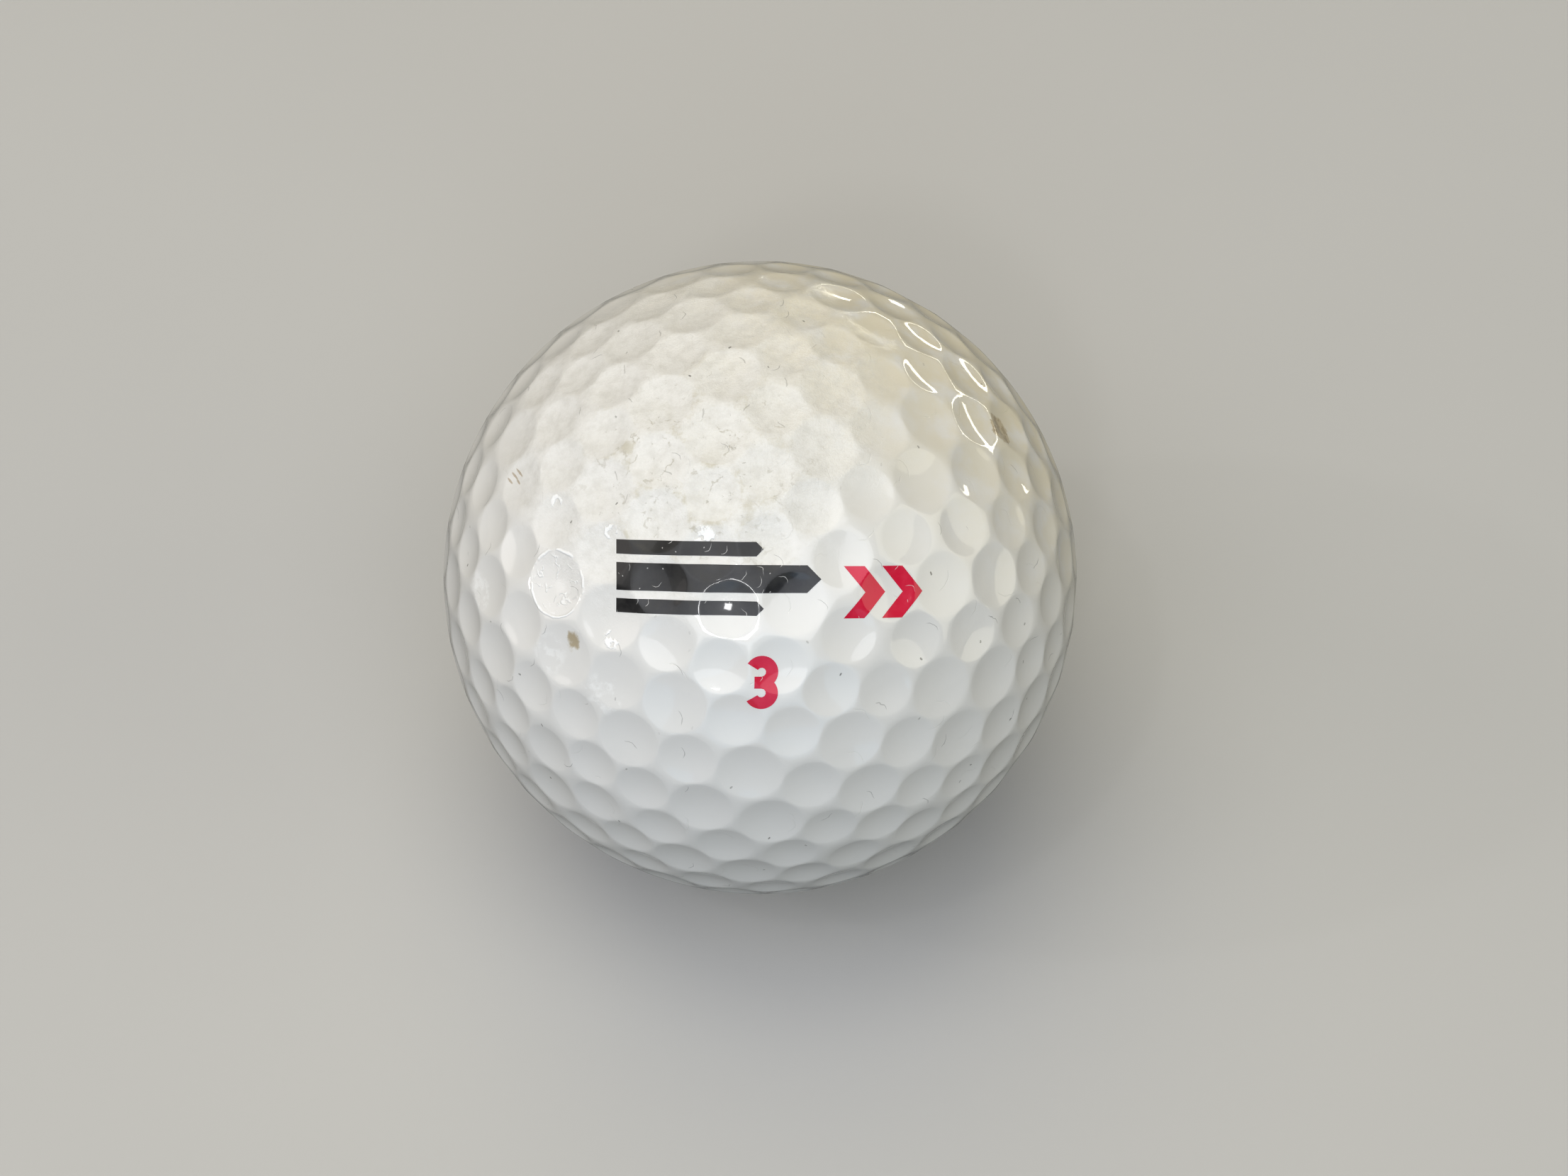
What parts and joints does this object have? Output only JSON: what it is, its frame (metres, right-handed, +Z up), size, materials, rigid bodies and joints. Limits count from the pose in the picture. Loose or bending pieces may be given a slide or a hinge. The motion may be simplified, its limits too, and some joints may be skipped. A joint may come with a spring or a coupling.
{
  "type": "golf ball",
  "caption": "Golf ball with a solid rubber core, a casing and a dimpled two-cup cover, printed with an alignment mark, chevrons and a play number.",
  "frame": {"origin": "centre of the ball", "axes": "+Z up as the ball lies; the printed pole is tilted 39.4 degrees from +Z towards -Y and 8.6 degrees round towards +X, and the marks read roughly along +X"},
  "size_m": [0.0426, 0.0426, 0.0426],
  "materials": {
    "core_rubber": "matte",
    "casing_plastic": "satin",
    "cover_white": "gloss",
    "ink_black": "gloss",
    "ink_red": "gloss"
  },
  "bodies": {
    "root": {"core": "core_rubber", "casing_half_front": "casing_plastic", "casing_half_back": "casing_plastic", "cover_half_front": "cover_white", "cover_half_back": "cover_white", "alignment_bar_upper": "ink_black", "alignment_bar_middle": "ink_black", "alignment_bar_lower": "ink_black", "chevron_left": "ink_red", "chevron_right": "ink_red", "play_number": "ink_red"}
  },
  "joints": []
}
